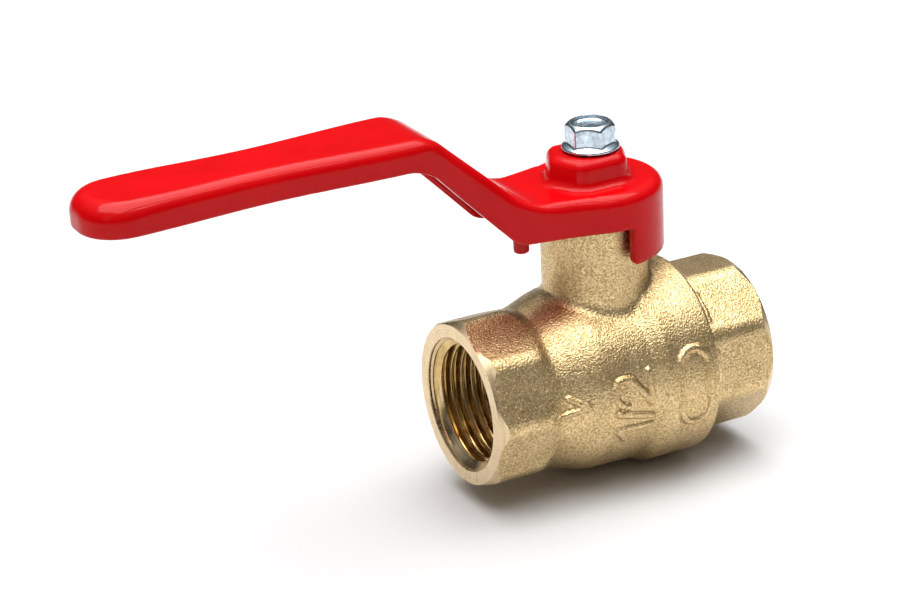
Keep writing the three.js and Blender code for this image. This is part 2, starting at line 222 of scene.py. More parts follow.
def skin(name, field, low, high, step):
    """A mesh over the surface of a field inside a box, from a grid of that step in millimetres."""
    step = step * FINE
    axes = [np.arange(a - 1.7 * step, b + 2.7 * step, step, np.float32) for a, b in zip(low, high)]
    x, y, z = np.meshgrid(*axes, indexing="ij", sparse=True)
    shape = [len(axis) for axis in axes]
    values = np.broadcast_to(field(x, y, z), shape)
    inside = values < 0
    number, cells = grid_cells(inside)
    points = np.array([axis[0] for axis in axes], float) + step * cell_centres(values, cells)
    for _ in range(4):
        slope = gradient(field, points)
        steepness = np.maximum((slope * slope).sum(1), 0.05)
        move = (field(*points.T) / steepness)[:, None] * slope
        length = np.maximum(np.linalg.norm(move, axis=1), 1e-9)
        points -= move * np.minimum(1, 0.6 * step / length)[:, None]
    return mesh_piece(name, points, cell_faces(inside, number).tolist())


def mesh_piece(name, points, faces):
    mesh = bpy.data.meshes.new(name)
    mesh.from_pydata((np.asarray(points) * MM).tolist(), [], faces)
    piece = bpy.data.objects.new(name, mesh)
    bpy.context.scene.collection.objects.link(piece)
    return piece


# --- Cutters ------------------------------------------------------------------------------------

AROUND = 144 // FINE  # facets round a turned cutter


def turned(name, profile, material, axis="X"):
    """A solid turned about X or Z from (along, radius) points that start and end on the axis."""
    points = [(profile[0][0], 0.0, 0.0)]
    faces = []
    rings = profile[1:-1]
    for along, radius in rings:
        for i in range(AROUND):
            angle = 2 * math.pi * i / AROUND
            points.append((along, radius * math.cos(angle), radius * math.sin(angle)))
    points.append((profile[-1][0], 0.0, 0.0))
    last = len(points) - 1
    for i in range(AROUND):
        beside = (i + 1) % AROUND
        faces.append((0, 1 + beside, 1 + i))
        for ring in range(len(rings) - 1):
            near, far = 1 + ring * AROUND, 1 + (ring + 1) * AROUND
            faces.append((near + i, near + beside, far + beside, far + i))
        end = 1 + (len(rings) - 1) * AROUND
        faces.append((end + i, end + beside, last))
    if axis == "Z":
        points = [(y, z, x) for x, y, z in points]
    piece = mesh_piece(name, points, faces)
    piece.data.materials.append(material)
    return piece


def cut(piece, cutter):
    """Takes the cutter out of the piece; the new faces keep the cutter's material."""
    modifier = piece.modifiers.new("cut", "BOOLEAN")
    modifier.operation = "DIFFERENCE"
    modifier.solver = "MANIFOLD"
    modifier.material_mode = "TRANSFER"
    modifier.object = cutter
    graph = bpy.context.evaluated_depsgraph_get()
    made = bpy.data.meshes.new_from_object(piece.evaluated_get(graph))
    piece.modifiers.clear()
    old = piece.data
    piece.data = made
    bpy.data.meshes.remove(old)
    bpy.data.objects.remove(cutter)


def turn_round(piece, side):
    """Turns a piece made for the inlet (-1) to the outlet (+1), half a turn about Z."""
    if side > 0:
        piece.data.transform(Matrix.Rotation(math.pi, 4, "Z"))
    return piece


# --- Materials ----------------------------------------------------------------------------------


def node(tree, kind, inputs=None, **settings):
    """Adds a shader node; an input is either a number or colour, or another node's output."""
    made = tree.nodes.new("ShaderNode" + kind)
    for key, value in settings.items():
        setattr(made, key, value)
    for key, value in (inputs or {}).items():
        if isinstance(value, bpy.types.NodeSocket):
            tree.links.new(value, made.inputs[key])
        else:
            made.inputs[key].default_value = value
    return made


def new_material(name):
    material = bpy.data.materials.new(name)
    material.use_nodes = True
    tree = material.node_tree
    shader = tree.nodes["Principled BSDF"]
    place = node(tree, "TexCoord").outputs["Object"]
    return material, tree, shader, place


def noise(tree, place, size, detail=2.0, roughness=0.5):
    """Noise whose lumps are about that many millimetres across."""
    settings = {"Vector": place, "Scale": 1 / (size * MM), "Detail": detail, "Roughness": roughness}
    return node(tree, "TexNoise", settings).outputs["Fac"]


def spread(tree, value, low, high, start=0.3, end=0.7):
    """Maps noise onto the range from low to high."""
    limits = {"Value": value, "From Min": start, "From Max": end, "To Min": low, "To Max": high}
    return node(tree, "MapRange", limits).outputs["Result"]


def blend_colour(tree, share, first, second):
    ramp = node(tree, "ValToRGB", {"Fac": share})
    ramp.color_ramp.elements[0].color = (*first, 1)
    ramp.color_ramp.elements[1].color = (*second, 1)
    return ramp.outputs["Color"]


def multiply(tree, first, second):
    return node(tree, "Math", {0: first, 1: second}, operation="MULTIPLY").outputs[0]


def add(tree, first, second):
    return node(tree, "Math", {0: first, 1: second}, operation="ADD").outputs[0]


def relief(tree, height, depth, strength=1.0, under=None):
    """Bump from a height between 0 and 1 that stands for that many millimetres."""
    inputs = {"Height": height, "Distance": depth * MM, "Strength": strength}
    if under is not None:
        inputs["Normal"] = under
    return node(tree, "Bump", inputs).outputs["Normal"]


def edge_share(tree, low, high):
    """0 on flats and in hollows, rising to 1 on the mesh's sharpest outer edges."""
    sharpness = node(tree, "NewGeometry").outputs["Pointiness"]
    return spread(tree, sharpness, 0.0, 1.0, low, high)


def blasted_brass():
    """Forged brass after shot blasting: a bright metal with a fine, hard grain."""
    material, tree, shader, place = new_material("blasted_brass")
    grain = noise(tree, place, 0.3, 2.0, 0.5)
    cloud = noise(tree, place, 4.0, 2.0)
    tone = add(tree, multiply(tree, grain, 0.8), multiply(tree, cloud, 0.2))
    colour = blend_colour(tree, spread(tree, tone, 0, 1, 0.38, 0.62), (0.42, 0.285, 0.12), (0.84, 0.64, 0.35))
    tree.links.new(colour, shader.inputs["Base Color"])
    tree.links.new(spread(tree, grain, 0.4, 0.28), shader.inputs["Roughness"])
    pits = relief(tree, grain, 0.13, 1.0)
    waves = relief(tree, noise(tree, place, 1.4, 2.0), 0.06, 0.5, pits)
    tree.links.new(waves, shader.inputs["Normal"])
    shader.inputs["Metallic"].default_value = 1.0
    return material


def lathe_lines(tree, place, axis_scale, line):
    """Fine rings round the X axis, as a turning tool leaves them."""
    parts = node(tree, "SeparateXYZ", {0: place})
    y, z = parts.outputs["Y"], parts.outputs["Z"]
    squares = add(tree, multiply(tree, y, y), multiply(tree, z, z))
    radius = node(tree, "Math", {0: squares, 1: 0.5}, operation="POWER").outputs[0]
    out = node(tree, "CombineXYZ", {"X": radius, "Y": multiply(tree, parts.outputs["X"], axis_scale)})
    return noise(tree, out.outputs[0], line)


def turned_brass():
    """Freshly machined brass: paler than the casting, with tool rings."""
    material, tree, shader, place = new_material("turned_brass")
    rings = lathe_lines(tree, place, 1.0, 0.22)
    smear = noise(tree, place, 2.5, 3.0)
    tone = add(tree, multiply(tree, rings, 0.6), multiply(tree, smear, 0.4))
    colour = blend_colour(tree, spread(tree, tone, 0, 1, 0.35, 0.65), (0.55, 0.40, 0.215), (0.84, 0.67, 0.43))
    tree.links.new(colour, shader.inputs["Base Color"])
    tree.links.new(spread(tree, smear, 0.22, 0.38), shader.inputs["Roughness"])
    tree.links.new(relief(tree, rings, 0.012, 0.5), shader.inputs["Normal"])
    shader.inputs["Metallic"].default_value = 1.0
    return material


def thread_brass():
    """Cut thread: bright, slick brass, darker and yellower from the light bouncing in the socket."""
    material, tree, shader, place = new_material("thread_brass")
    rings = lathe_lines(tree, place, 1.0, 0.3)
    smear = noise(tree, place, 1.8, 3.0)
    colour = blend_colour(tree, spread(tree, smear, 0, 1), (0.50, 0.33, 0.12), (0.80, 0.58, 0.26))
    tree.links.new(colour, shader.inputs["Base Color"])
    tree.links.new(spread(tree, rings, 0.14, 0.3), shader.inputs["Roughness"])
    tree.links.new(relief(tree, rings, 0.01, 0.4), shader.inputs["Normal"])
    shader.inputs["Metallic"].default_value = 1.0
    return material


def red_enamel():
    """Thick glossy red paint, with the faint waviness of a dipped or powdered coat, and a painted highlight
    in patches along its sharpest edges.
    """
    material, tree, shader, place = new_material("red_enamel")
    cloud = noise(tree, place, 9.0, 2.0)
    colour = blend_colour(tree, spread(tree, cloud, 0, 1), (0.47, 0.0008, 0.002), (0.54, 0.0012, 0.003))
    # Painted highlight: a paler, orange-tinted red mixed in, in patches, along the sharpest outer edges,
    # where light catches the rounded rims.
    sheen_patches = noise(tree, place, 0.8, 4.0, 0.6)
    rim = multiply(tree, edge_share(tree, 0.53, 0.6), spread(tree, sheen_patches, 0, 0.25, 0.55, 0.7))
    edge_highlighted = node(tree, "Mix", {"Factor": rim}, data_type="RGBA")
    tree.links.new(colour, edge_highlighted.inputs[6])
    edge_highlighted.inputs[7].default_value = (0.9, 0.12, 0.10, 1)
    tree.links.new(edge_highlighted.outputs[2], shader.inputs["Base Color"])
    tree.links.new(spread(tree, noise(tree, place, 1.2, 3.0), 0.14, 0.22), shader.inputs["Roughness"])
    shader.inputs["Specular IOR Level"].default_value = 0.12
    peel = relief(tree, noise(tree, place, 1.5, 2.0), 0.03, 0.25)
    tree.links.new(relief(tree, noise(tree, place, 6.0, 1.0), 0.12, 0.35, peel), shader.inputs["Normal"])
    shader.inputs["Coat Weight"].default_value = 0.1
    shader.inputs["Coat Roughness"].default_value = 0.05
    return material


def zinc_plate():
    """Bluish bright zinc over a headed screw, with faint mottling."""
    material, tree, shader, place = new_material("zinc_plate")
    mottle = noise(tree, place, 0.9, 4.0, 0.6)
    colour = blend_colour(tree, spread(tree, mottle, 0, 1), (0.34, 0.43, 0.50), (0.74, 0.84, 0.92))
    tree.links.new(colour, shader.inputs["Base Color"])
    tree.links.new(spread(tree, mottle, 0.34, 0.16), shader.inputs["Roughness"])
    dents = relief(tree, noise(tree, place, 0.8, 3.0), 0.07, 0.6)
    tree.links.new(dents, shader.inputs["Normal"])
    shader.inputs["Metallic"].default_value = 1.0
    return material


def chrome():
    """Hard chrome on the polished ball, with the finest of swirls."""
    material, tree, shader, place = new_material("ball_chrome")
    swirl = noise(tree, place, 0.6, 4.0)
    cloud = spread(tree, noise(tree, place, 4.0), 0, 1)
    colour = blend_colour(tree, cloud, (0.66, 0.68, 0.70), (0.80, 0.82, 0.83))
    tree.links.new(colour, shader.inputs["Base Color"])
    tree.links.new(spread(tree, swirl, 0.05, 0.14), shader.inputs["Roughness"])
    tree.links.new(relief(tree, swirl, 0.004, 0.3), shader.inputs["Normal"])
    shader.inputs["Metallic"].default_value = 1.0
    return material


def soft_white():
    """PTFE: waxy, slightly see-through white with turning marks."""
    material, tree, shader, place = new_material("ptfe_white")
    mark = noise(tree, place, 0.7, 3.0)
    colour = blend_colour(tree, spread(tree, mark, 0, 1), (0.78, 0.77, 0.73), (0.88, 0.87, 0.84))
    tree.links.new(colour, shader.inputs["Base Color"])
    tree.links.new(spread(tree, mark, 0.42, 0.58), shader.inputs["Roughness"])
    tree.links.new(relief(tree, mark, 0.015, 0.4), shader.inputs["Normal"])
    shader.inputs["Subsurface Weight"].default_value = 0.15
    shader.inputs["Subsurface Scale"].default_value = 0.4 * MM
    return material


def black_rubber():
    """Nitrile rubber of the stem's O-ring, matt with a fine moulded texture."""
    material, tree, shader, place = new_material("seal_rubber")
    skin_grain = noise(tree, place, 0.25, 3.0)
    colour = blend_colour(tree, spread(tree, skin_grain, 0, 1), (0.010, 0.010, 0.011), (0.028, 0.028, 0.030))
    tree.links.new(colour, shader.inputs["Base Color"])
    tree.links.new(spread(tree, skin_grain, 0.5, 0.7), shader.inputs["Roughness"])
    tree.links.new(relief(tree, skin_grain, 0.01, 0.5), shader.inputs["Normal"])
    return material


CAST = blasted_brass()
TURNED = turned_brass()
THREAD = thread_brass()
RED = red_enamel()
ZINC = zinc_plate()
CHROME = chrome()
PTFE = soft_white()
RUBBER = black_rubber()


def place_piece(piece, body, node_name, material=None, crease=32):
    """Smooths a finished piece, gives it its finish, ties it to its CAD body, and hides the CAD node that it
    stands for.
    """
    if material is not None:
        piece.data.materials.clear()
        piece.data.materials.append(material)
    piece.data.polygons.foreach_set("use_smooth", [True] * len(piece.data.polygons))
    piece.data.set_sharp_from_angle(angle=math.radians(crease))
    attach(piece, body)
    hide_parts(node_name)


# --- Forged body and cap ------------------------------------------------------------------------

HALF_LENGTH = CAP_HIGH[0]  # both end faces are this far from the ball's centre
MARGIN = np.array([2.0, 0.6, 0.6])  # the casting before it is machined, past its CAD box
END_FLATS = 26.0
EDGE_ROUND = 1.0  # along the octagon's corners
CORNER_CONE_X = -14.2
CORNER_CONE_RADIUS = 12.95  # of the cone at that x; it narrows by 1 mm in 2
RING_RADIUS = BODY_HIGH[1] - 0.15
RING_END = BODY_HIGH[0]
CHAMBER_RADIUS = 15.1
RELIEF = 0.5  # height of the raised marks
NECK_RADIUS = 8.4
NECK_TOP = BODY_HIGH[2]
LUG_RADIUS = 12.3  # the lug on the neck that stops the lever
LUG_BOTTOM = 19.5
LUG_TOP = 26.4
LUG_START = -3.8  # degrees from +X round Z
LUG_END = 83.2
CAP_TURN = 17.5  # degrees that the cap's octagon is turned from the body's
CAP_SKIRT_RADIUS = 13.4

FACE_RADIUS = 12.9  # of the flat end face, where its chamfer starts
CHAMFER_LENGTH = 1.9
CHAMFER_HEIGHT = 1.2
MOUTH_RADIUS = 10.7
MOUTH_DEPTH = 0.5
THREAD_MAJOR = 10.478  # radii of the G 1/2 thread
THREAD_MINOR = 9.316
THREAD_PITCH = 1.814
SOCKET_DEPTH = 11.1
PORT_RADIUS = 7.5
POCKET_RADIUS = 10.9
POCKET_START = 7.4  # the seat's pocket, along X from the ball's centre
POCKET_END = 12.7
CHAMBER_BORE = 12.2  # radius
CAP_BORE_START = 5.7
STEM_POCKET_RADIUS = 5.6
STEM_POCKET_TOP = 15.6
STEM_BORE_RADIUS = 4.35
PACKING_BOTTOM = 22.6
PACKING_RADIUS = 6.3


def chamber_shape(x, radius):
    """The chamber's outside, swelling out of the octagon and again into the cap's ring."""
    swell = eased(x, [(-15, 12.8), (-5.6, CHAMBER_RADIUS - 0.15), (1.7, CHAMBER_RADIUS), (4.4, RING_RADIUS)])
    return round_common(radius - swell, between(x, -15, RING_END), 0.7)


def octagon_end(x, radius):
    """The cone that runs the octagon's corners out into the chamber."""
    return 0.447 * (x - CORNER_CONE_X) + 0.894 * (radius - CORNER_CONE_RADIUS)


def numeral_strokes():
    """The nominal size, one half, as plain strokes; (up the glyph, along the line)."""
    one = [(3.4, -6.4), (5.1, -4.3), (-0.9, -4.3)]
    slash = [(-0.9, -2.7), (5.1, -1.2)]
    bow = [(3.4, -0.2), (4.7, 0.3), (5.4, 1.6), (5.4, 2.9), (4.6, 4.1), (3.4, 4.3), (2.2, 3.7)]
    two = bow + [(-0.8, -0.3), (-0.8, 4.7)]
    return [one, slash, two]


def raised_marks(x, y, z):
    """Height of the raised lines on the forging's front."""
    arc = np.arctan2(z, -y) * CHAMBER_RADIUS
    nearest = to_stroke(x, arc, [(-15.3, -0.2), (-9.9, 0.9), (-12.8, 3.1)])
    for points in numeral_strokes():
        nearest = np.minimum(nearest, to_stroke(-x, arc, points))
    plate = np.abs(to_stroke(x, arc, [(8.6, -2.7), (8.6, 3.8)]) - 2.6)
    nearest = np.minimum(nearest, plate)
    share = np.clip((0.75 - nearest) / 0.5, 0, 1)
    return np.where(y < -2, RELIEF * share * share * (3 - 2 * share), 0)


def casting(x, y, z):
    """The forging's outside, still solid, with its machined end left long."""
    radius = np.hypot(y, z)
    octagon = prism(y, z, 8, END_FLATS, 0, EDGE_ROUND)
    octagon = round_common(octagon, octagon_end(x, radius), 0.4)
    octagon = np.maximum(octagon, between(x, BODY_LOW[0] - 1, -7))
    body = round_join(octagon, chamber_shape(x, radius), 0.4)
    stem_radius = np.hypot(x, y)
    neck = rod(stem_radius, z, 5, NECK_TOP, NECK_RADIUS, 0.5)
    lug = round_common(stem_radius - LUG_RADIUS, between(z, LUG_BOTTOM, LUG_TOP), 0.5)
    lug = round_common(lug, wedge(x, y, LUG_START, LUG_END, 0.5), 0.5)
    neck = round_join(neck, lug, 0.6)
    body = round_join(body, neck, 1.1)
    return body - raised_marks(x, y, z)


def cap_casting(x, y, z):
    radius = np.hypot(y, z)
    octagon = prism(y, z, 8, END_FLATS, CAP_TURN, EDGE_ROUND)
    octagon = round_common(octagon, between(x, RING_END + 0.3, CAP_HIGH[0] + 1), 0.5)
    skirt = rod(radius, x, CAP_LOW[0], RING_END + 2, CAP_SKIRT_RADIUS, 0.3)
    return np.minimum(octagon, skirt)


def end_cutter(side):
    """Everything a lathe takes from a pipe end: end face, chamfer, mouth, socket and port."""
    face = -HALF_LENGTH
    outside = 18
    lead_in = 0.85 * (MOUTH_RADIUS - THREAD_MINOR)
    profile = [
        (face - 4, 0),
        (face - 4, outside),
        (face + CHAMFER_LENGTH, outside),
        (face + CHAMFER_LENGTH, FACE_RADIUS + CHAMFER_HEIGHT),
        (face, FACE_RADIUS),
        (face, MOUTH_RADIUS + 0.15),
        (face + 0.15, MOUTH_RADIUS),
        (face + MOUTH_DEPTH, MOUTH_RADIUS),
        (face + MOUTH_DEPTH + lead_in, THREAD_MINOR),
        (face + SOCKET_DEPTH, THREAD_MINOR),
        (face + SOCKET_DEPTH, PORT_RADIUS),
        (-POCKET_END - 0.01, PORT_RADIUS),
        (-POCKET_END - 0.01, POCKET_RADIUS),
        (-POCKET_END + 1, POCKET_RADIUS),
        (-POCKET_END + 1, 0),
    ]
    return turn_round(turned("end_cutter", profile, TURNED), side)


def thread_cutter(side):
    """A right-handed rod with the thread's form, made of eight helical edges per pitch."""
    form = (0.0, 0.0, 0.08, 0.92, 1.0, 1.0, 0.92, 0.08)  # shares of the thread's depth
    place = (0.0, 0.13, 0.21, 0.46, 0.54, 0.63, 0.71, 0.96)  # shares of the pitch
    strands = len(form)
    face = -HALF_LENGTH
    first, last = face - 2, face + SOCKET_DEPTH + 0.5
    fade_start = face + SOCKET_DEPTH - 0.9
    count = int((last - first) / THREAD_PITCH) * AROUND
    points = []

    def corner(strand, n):
        angle = 2 * math.pi * n / AROUND
        x = first + THREAD_PITCH * (place[strand] + n / AROUND)
        radius = THREAD_MINOR - 0.02 + (THREAD_MAJOR - THREAD_MINOR) * form[strand]
        fade = min(max((x - fade_start) / 0.5, 0), 1)
        radius += (PORT_RADIUS - 0.5 - radius) * fade
        return x, radius * math.cos(angle), radius * math.sin(angle)

    for strand in range(strands):
        extra = AROUND if strand == 0 else 0
        points += [corner(strand, n) for n in range(count + extra + 1)]

    def index(strand, n):
        if strand == strands:
            strand, n = 0, n + AROUND
        return n if strand == 0 else count + AROUND + 1 + (strand - 1) * (count + 1) + n

    faces = []
    for strand in range(strands):
        for n in range(count):
            around = (index(strand, n), index(strand, n + 1), index(strand + 1, n + 1), index(strand + 1, n))
            faces.append(around)
    points += [(first - 3, 0, 0), (last + 2, 0, 0)]
    start, end = len(points) - 2, len(points) - 1
    opening = [index(0, n) for n in range(AROUND)] + [index(s, 0) for s in range(strands, 0, -1)]
    closing = [index(0, count + n) for n in range(AROUND)] + [index(s, count) for s in range(strands, 0, -1)]
    for i in range(len(opening)):
        beside = (i + 1) % len(opening)
        faces.append((opening[beside], opening[i], start))
        faces.append((closing[i], closing[beside], end))
    piece = mesh_piece("thread_cutter", points, faces)
    piece.data.materials.append(THREAD)
    return turn_round(piece, side)


def chamber_cutter():
    """The body's inside behind the seat pocket: ball chamber and the cap's socket."""
    profile = [
        (-POCKET_END, 0),
        (-POCKET_END, POCKET_RADIUS),
        (-POCKET_START, POCKET_RADIUS),
        (-POCKET_START, CHAMBER_BORE),
        (CAP_BORE_START, CHAMBER_BORE),
        (CAP_BORE_START, CAP_SKIRT_RADIUS + 0.3),
        (RING_END + 3, CAP_SKIRT_RADIUS + 0.3),
        (RING_END + 3, 0),
    ]
    return turned("chamber_cutter", profile, TURNED)


def stem_cutter():
    """The bores up the neck for the stem's shoulder, its shank, and the packing."""
    profile = [
        (2, 0),
        (2, STEM_POCKET_RADIUS),
        (STEM_POCKET_TOP, STEM_POCKET_RADIUS),
        (STEM_POCKET_TOP, STEM_BORE_RADIUS),
        (PACKING_BOTTOM, STEM_BORE_RADIUS),
        (PACKING_BOTTOM, PACKING_RADIUS),
        (NECK_TOP + 2, PACKING_RADIUS),
        (NECK_TOP + 2, 0),
    ]
    return turned("stem_cutter", profile, TURNED, "Z")


def make_body():
    piece = skin("forged_body", casting, BODY_LOW - MARGIN, BODY_HIGH + MARGIN, 0.25)
    piece.data.materials.append(CAST)
    for cutter in (end_cutter(-1), thread_cutter(-1), chamber_cutter(), stem_cutter()):
        cut(piece, cutter)
    place_piece(piece, "housing", "valve_body")


def make_cap():
    piece = skin("screwed_cap", cap_casting, CAP_LOW - MARGIN, CAP_HIGH + MARGIN, 0.25)
    piece.data.materials.append(CAST)
    pocket = [
        (CAP_LOW[0] - 2, 0),
        (CAP_LOW[0] - 2, POCKET_RADIUS),
        (POCKET_END, POCKET_RADIUS),
        (POCKET_END, 0),
    ]
    for cutter in (end_cutter(1), thread_cutter(1), turned("pocket_cutter", pocket, TURNED)):
        cut(piece, cutter)
    place_piece(piece, "housing", "end_cap")


# --- Lever --------------------------------------------------------------------------------------

HEAD_RADIUS = 11.1
HEAD_TOP = 32.8
SKIRT_BOTTOM = 27.0
GRIP_TOP = 47.3
GRIP_BOTTOM = 42.2
CRANK_HEAD = -30.8
CRANK_FOOT = -14.8
LEVER_WALL = 1.9
CLUB_HALF_WIDTH = 7.5  # near the lever's tip
WAIST_HALF_WIDTH = 6.6
KNEE_HALF_WIDTH = 7.9  # where the grip meets the crank
CRANK_HALF_WIDTH = 6.8
LEVER_WIDTHS = [
    (-84, CLUB_HALF_WIDTH),
    (-78, CLUB_HALF_WIDTH),
    (-57, WAIST_HALF_WIDTH),
    (-34, KNEE_HALF_WIDTH),
    (-22, CRANK_HALF_WIDTH),
]
FLARE_START = -14.4
FLARE_END = -3.6
FLARE_HALF_WIDTH = 10.5  # at its end, inside the round head
BOSS_CENTRE = -0.8
BOSS_TOP = 37.2
BOSS_HALF_WIDTH = 5.9
BOSS_POINT = 6.4
BOSS_DRAFT = 0.07
PEG_X = -12.9
PEG_RADIUS = 1.25
PEG_BOTTOM = 22.9
TAB_BOTTOM = LEVER_LOW[2]
TAB_START = -84  # degrees from +X round Z
TAB_END = -5
LEVER_HOLE = 3.25  # half the width of the square hole on the stem
LEVER_HOLE_CORNER = 4.35  # from Z to the hole's rounded-off corners


def lever_plan(x, y):
    """The lever's outline from above: club, waist, knee and crank, then a flare into the round head."""
    side = np.sqrt(y * y + 0.01)
    half_width = eased(x, LEVER_WIDTHS)
    grip = round_common(side - half_width, between(x, LEVER_LOW[0], 0), 6.6)
    flare = half_plane(x, side, (FLARE_START, CRANK_HALF_WIDTH), (FLARE_END, FLARE_HALF_WIDTH))
    flare = np.maximum(flare, between(x, -40, FLARE_END))
    arm = round_join(grip, flare, 3.5)
    return np.minimum(arm, np.hypot(x, y) - HEAD_RADIUS)


def lever_top(x, z):
    """Height over the lever's top line: grip, crank and head."""
    crank = half_plane(x, z, (CRANK_HEAD, GRIP_TOP), (CRANK_FOOT, HEAD_TOP))
    grip = round_common(z - GRIP_TOP, crank, 1.8)
    return round_join(grip, z - HEAD_TOP, 2.4)


def lever_rim(x, z):
    """Depth under the lever's rim, which rises a little towards the crank."""
    bottom = GRIP_BOTTOM + 0.01 * (x - LEVER_LOW[0])
    crank = -half_plane(x, z, (CRANK_HEAD - 1.4, GRIP_BOTTOM + 0.5), (CRANK_FOOT - 2.1, SKIRT_BOTTOM))
    grip = round_join(bottom - z, crank, 2.2)
    return round_common(grip, SKIRT_BOTTOM - z, 1.2)


def lever_boss(x, y, z):
    """The drafted hexagonal boss round the stem's square; its pointed ends are near 27 degrees."""
    across = np.abs(x - BOSS_CENTRE)
    draft = BOSS_DRAFT * (z - HEAD_TOP)
    flats = np.abs(y) - BOSS_HALF_WIDTH + draft
    points = 0.891 * across + 0.453 * np.sqrt(y * y + 0.6) - BOSS_POINT + draft
    return round_common(round_common(flats, points, 1.3), z - BOSS_TOP, 1.5)


def lever_field(x, y, z):
    plan = lever_plan(x, y)
    top = lever_top(x, z)
    edge = eased(x, [(LEVER_LOW[0], 3.0), (-70, 2.2), (-15, 1.9)])
    outside = round_common(plan, top, edge)
    boss = np.maximum(lever_boss(x, y, z), HEAD_TOP - 1.2 - z)
    outside = round_join(outside, boss, 1.2)
    outside = round_common(outside, lever_rim(x, z), 0.5)
    channel = round_common(plan + LEVER_WALL, top + LEVER_WALL + 0.1, 1.0)
    shell = round_common(outside, -channel, 0.45)
    around = np.hypot(x, y)
    tab = between(around, HEAD_RADIUS - LEVER_WALL, HEAD_RADIUS)
    tab = round_common(tab, wedge(x, y, TAB_START, TAB_END, 0.4), 0.4)
    tab = round_common(tab, between(z, TAB_BOTTOM, SKIRT_BOTTOM + 2), 0.9)
    peg = rod(np.hypot(x - PEG_X, y), z, PEG_BOTTOM, HEAD_TOP - 1.5, PEG_RADIUS, 0.35)
    lever = np.minimum(round_join(shell, peg, 0.4), tab)
    square = np.maximum(np.abs(x), np.abs(y)) - LEVER_HOLE
    square = round_common(square, around - LEVER_HOLE_CORNER, 0.3)
    return round_common(lever, -square, 0.3)


def make_lever():
    piece = skin("cast_lever", lever_field, LEVER_LOW, LEVER_HIGH, 0.3)
    place_piece(piece, "stem_lever", "lever", RED, 60)


# --- Screw --------------------------------------------------------------------------------------

SCREW_HEX_BOTTOM = 38.2
SCREW_FLATS = 7.0
SCREW_TURN = 24  # degrees
SCREW_RIM_RADIUS = 3.2
SCREW_RECESS_RADIUS = 2.9
SCREW_RECESS_DEPTH = 0.7
SCREW_SHANK_RADIUS = 1.95


def screw_field(x, y, z):
    """A flanged hexagon screw, its chamfered crown raised in a rim round a shallow recess."""
    around = np.hypot(x, y)
    top = SCREW_HIGH[2]
    flange = rod(around, z, SCREW_HEX_BOTTOM - 0.8, SCREW_HEX_BOTTOM + 0.4, SCREW_HIGH[0], 0.3)
    slope = 0.4 * (around - SCREW_HIGH[0]) + 0.917 * (z - SCREW_HEX_BOTTOM + 0.3)
    flange = round_common(flange, slope, 0.2)
    hexagon = prism(x, y, 6, SCREW_FLATS, SCREW_TURN, 0.25)
    crown = 0.643 * (around - SCREW_RIM_RADIUS) + 0.766 * (z - top)
    hexagon = round_common(hexagon, crown, 0.25)
    hexagon = round_common(hexagon, between(z, SCREW_HEX_BOTTOM - 0.5, top), 0.25)
    recess = rod(around, z, top - SCREW_RECESS_DEPTH, top + 2, SCREW_RECESS_RADIUS, 0.4)
    hexagon = round_common(hexagon, -recess, 0.15)
    head = round_join(flange, hexagon, 0.3)
    shank = rod(around, z, SCREW_LOW[2], SCREW_HEX_BOTTOM, SCREW_SHANK_RADIUS, 0.3)
    return np.minimum(head, shank)


def make_screw():
    piece = skin("flanged_screw", screw_field, SCREW_LOW, SCREW_HIGH, 0.11)
    place_piece(piece, "stem_lever", "lever_screw", ZINC, 40)


# --- Inside pieces ------------------------------------------------------------------------------

BALL_BORE = 7  # radius
SLOT_HALF_WIDTH = 2.15
SLOT_FLOOR = 8.6
STEM_RADIUS = 4
SHOULDER_RADIUS = 5.3
SHOULDER_BOTTOM = 12.4
SHOULDER_TOP = 14.2
TANG_HALF_THICKNESS = 1.9
TANG_RADIUS = 4.9
TANG_TOP = 13.5
GROOVE_HEIGHT = 18.3  # the O-ring's groove
GROOVE_RADIUS = 0.8
SQUARE_BOTTOM = 30
SQUARE_HALF_WIDTH = 3
TAPPED_HOLE_RADIUS = 2.2
TAPPED_HOLE_BOTTOM = 25.5
NUT_FLATS = 13
NUT_SLEEVE_RADIUS = 6
NUT_BORE_RADIUS = 4.3
RING_BORES = {  # radii
    "seat_inlet": 7.3,
    "seat_outlet": 7.3,
    "stem_thrust_washer": 4.3,
    "packing_ring_lower": 4.3,
    "packing_ring_upper": 4.3,
    "stem_o_ring": 3.1,
}


def ball_field(x, y, z):
    """The ball, bored along X, with the stem's slot across its top."""
    ball = np.sqrt(x * x + y * y + z * z) - BALL_RADIUS
    ball = round_common(ball, BALL_BORE - np.hypot(y, z), 0.4)
    slot = np.maximum(np.abs(x) - SLOT_HALF_WIDTH, SLOT_FLOOR - z)
    return round_common(ball, -slot, 0.3)


def stem_field(x, y, z):
    """Shank with a shoulder, a tang into the ball, an O-ring groove, a square and a tapped hole."""
    around = np.hypot(x, y)
    shank = rod(around, z, SHOULDER_BOTTOM + 0.2, STEM_HIGH[2], STEM_RADIUS, 0.3)
    groove = np.hypot(around - STEM_RADIUS, z - GROOVE_HEIGHT) - GROOVE_RADIUS
    shank = round_common(shank, -groove, 0.15)
    square = np.maximum(np.abs(x), np.abs(y)) - SQUARE_HALF_WIDTH
    square = round_common(square, z - STEM_HIGH[2] - 1, 0.2)
    shank = np.where(z > SQUARE_BOTTOM, np.maximum(shank, square), shank)
    shoulder = rod(around, z, SHOULDER_BOTTOM, SHOULDER_TOP, SHOULDER_RADIUS, 0.3)
    tang = round_common(np.abs(x) - TANG_HALF_THICKNESS, between(z, STEM_LOW[2], TANG_TOP), 0.2)
    tang = round_common(tang, around - TANG_RADIUS, 0.2)
    hole = np.maximum(around - TAPPED_HOLE_RADIUS, TAPPED_HOLE_BOTTOM - z)
    return round_common(np.minimum(np.minimum(shank, shoulder), tang), -hole, 0.2)


